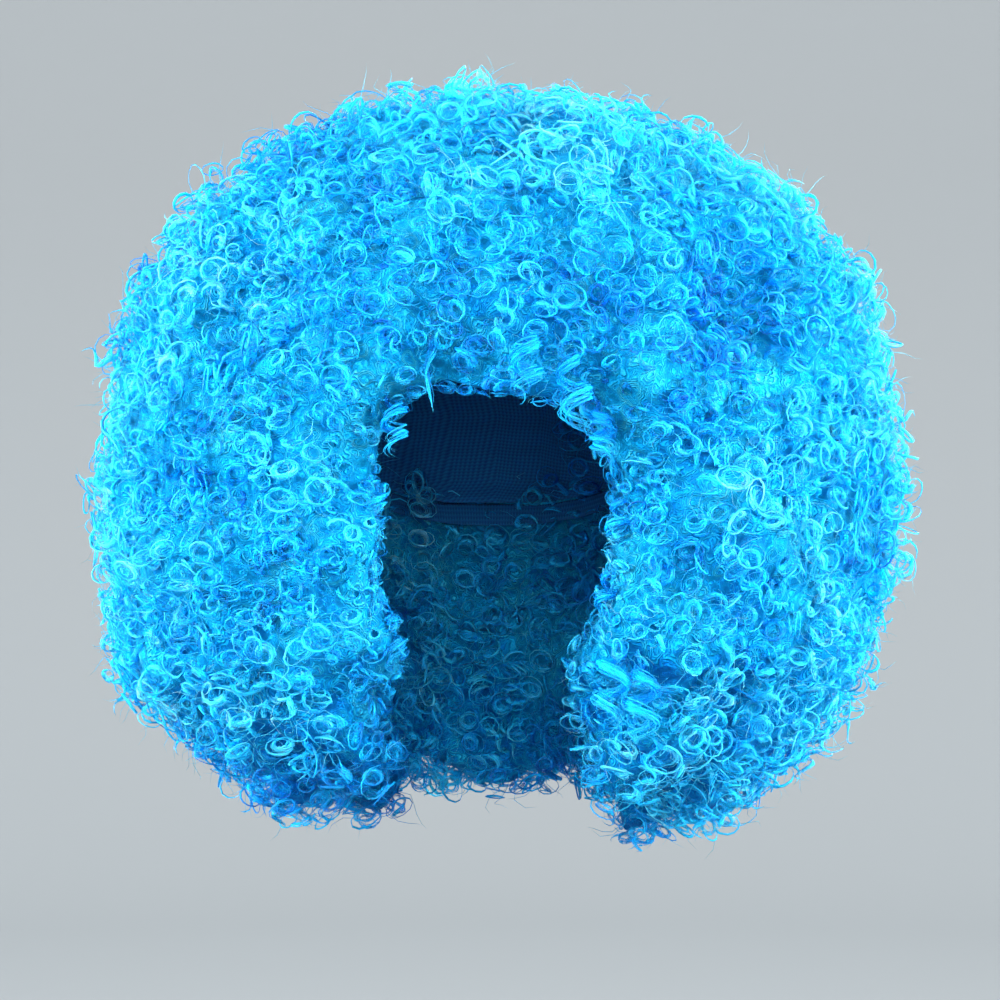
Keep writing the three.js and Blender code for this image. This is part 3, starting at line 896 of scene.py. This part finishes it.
def ringlet(row):
    """One corkscrew lock of flat strands side by side, which hangs from the hair's front."""
    n = row["strands"]
    axis = unit(np.array([[row["lean"], -0.2 * row["length"], -row["length"]]]))
    spots = np.array([front_root(row)]) + axis * spread(-2.6, 2.6, n)[:, None] * MM
    form = {
        "steps": RINGLET_STEPS,
        "opening": 3.0,
        "drift": 1.5 * MM,
        "tilt": rng.normal(0.2, 0.25, n),
        "turns": np.full(n, row["turns"]) * spread(0.96, 1.04, n),
        "radius": row["radius"] * MM * spread(0.8, 1.1, n),
        "rise": row["length"] * MM * spread(0.93, 1.07, n),
        "wide": spread(0.25, 0.9, n) * MM,
        "thick": spread(0.2, 0.35, n) * MM,
        "phase": rng.uniform(0, 2 * math.pi) + rng.normal(0, 0.35, n),
        "hand": np.full(n, rng.choice([-1.0, 1.0])),
    }
    tone = spread(0.2, 0.5, n)
    # darker roots and paler tips: painted shade and painted light
    return coils(spots, unit(axis + rng.normal(size=(n, 3)) * 0.04), form, tone - 0.1, tone + 0.2)


points, quads, triangles, tones, places = join_parts([ringlet(row) for row in RINGLETS])
ringlet_mesh = mesh_from_arrays("face_ringlets", points, quads, triangles, tones, places)
new_piece("face_ringlets", ringlet_mesh, fibre)

# Curls of each section

tuft_index = spaced(samples, CURL_SPACING)
wisp_index = spaced(samples[::-1], WISP_SPACING)
tuft_points, tuft_normals = samples[tuft_index], normals[tuft_index]
wisp_points, wisp_normals = samples[::-1][wisp_index], normals[::-1][wisp_index]
tuft_section, wisp_section = section_of(tuft_points), section_of(wisp_points)
is_ring = rng.random(len(tuft_index)) < RING_SHARE

for node in hair_nodes:
    parts = []
    for kinds, mine in ((RING, is_ring), (CORKSCREW, ~is_ring)):
        mine = mine & (tuft_section == node)
        parts += tufts(kinds, tuft_points[mine], tuft_normals[mine])
    mine = wisp_section == node
    parts += tufts(WISP, wisp_points[mine], wisp_normals[mine])
    name = node.replace("_hair", "_curls")
    points, quads, triangles, tones, places = join_parts(parts)
    mesh = mesh_from_arrays(name, points, quads, triangles, tones, places)
    new_piece(name, mesh, fibre, [node])


# Stage

def floor_finish():
    """Plain matt floor, darker under the wig and paler away from it: painted shade and light that
    even out the lamps' light, strong near the wig and weak far off.
    """
    shader = Shader("pale_floor", Roughness=0.9, Specular_IOR_Level=0.0)
    away = shader.vector("LENGTH", object_place(shader), output=1).between(*FLOOR_FADE)
    return shader.finish(Base_Color=shader.mix(away, FLOOR_GREY, FLOOR_PALE))


def stage_bowl():
    """A pale round floor that turns up into a low wall all round."""
    profile = [(0.0, 0.0), (0.8, 0.0), (2.0, 0.0), (STAGE_RADIUS - STAGE_BEND, 0.0)]
    for k in range(1, BEND_STEPS + 1):
        turn = math.pi / 2 * k / BEND_STEPS
        out = STAGE_RADIUS - STAGE_BEND * (1 - math.sin(turn))
        profile.append((out, STAGE_BEND * (1 - math.cos(turn))))
    profile.append((STAGE_RADIUS, STAGE_WALL))
    bm = bmesh.new()
    line = [bm.verts.new((r, 0, FLOOR_HEIGHT + z)) for r, z in profile]
    edges = [bm.edges.new(pair) for pair in zip(line, line[1:])]
    bmesh.ops.spin(
        bm,
        geom=line + edges,
        axis=(0, 0, 1),
        cent=(0, 0, 0),
        steps=STAGE_STEPS,
        angle=2 * math.pi,
        use_merge=True,
    )
    bmesh.ops.remove_doubles(bm, verts=bm.verts, dist=1e-5)
    bmesh.ops.recalc_face_normals(bm, faces=bm.faces)
    middle = min(bm.faces, key=lambda face: face.calc_center_median().length)
    if middle.normal.z < 0:
        bmesh.ops.reverse_faces(bm, faces=bm.faces)
    mesh = bpy.data.meshes.new("floor")
    bm.to_mesh(mesh)
    bm.free()
    mesh.shade_smooth()
    mesh.materials.append(floor_finish())
    floor = bpy.data.objects.new("floor", mesh)
    bpy.context.scene.collection.objects.link(floor)


def soft_light(name, place, size, power):
    data = bpy.data.lights.new(name, "AREA")
    data.shape = "DISK"
    data.size = size
    data.energy = power
    light = bpy.data.objects.new(name, data)
    light.location = place
    aim = hair_middle - Vector(place)
    light.rotation_euler = aim.to_track_quat("-Z", "Y").to_euler()
    bpy.context.scene.collection.objects.link(light)


def photo_camera():
    data = bpy.data.cameras.new("camera")
    data.sensor_width = SENSOR
    data.lens = SENSOR * CAMERA_DISTANCE / VIEW_WIDTH
    camera = bpy.data.objects.new("camera", data)
    camera.location = (CAMERA_ACROSS, hair_middle.y - CAMERA_DISTANCE, CAMERA_HEIGHT)
    camera.rotation_euler = (math.pi / 2, 0, 0)
    bpy.context.scene.collection.objects.link(camera)
    bpy.context.scene.camera = camera


def studio():
    stage_bowl()
    for row in LIGHTS:
        soft_light(**row)
    world = bpy.data.worlds.new("studio")
    world.use_nodes = True
    background = world.node_tree.nodes["Background"]
    background.inputs["Color"].default_value = SKY_COLOR
    background.inputs["Strength"].default_value = SKY_STRENGTH
    bpy.context.scene.world = world
    bpy.context.scene.view_settings.view_transform = "Standard"


studio()
photo_camera()
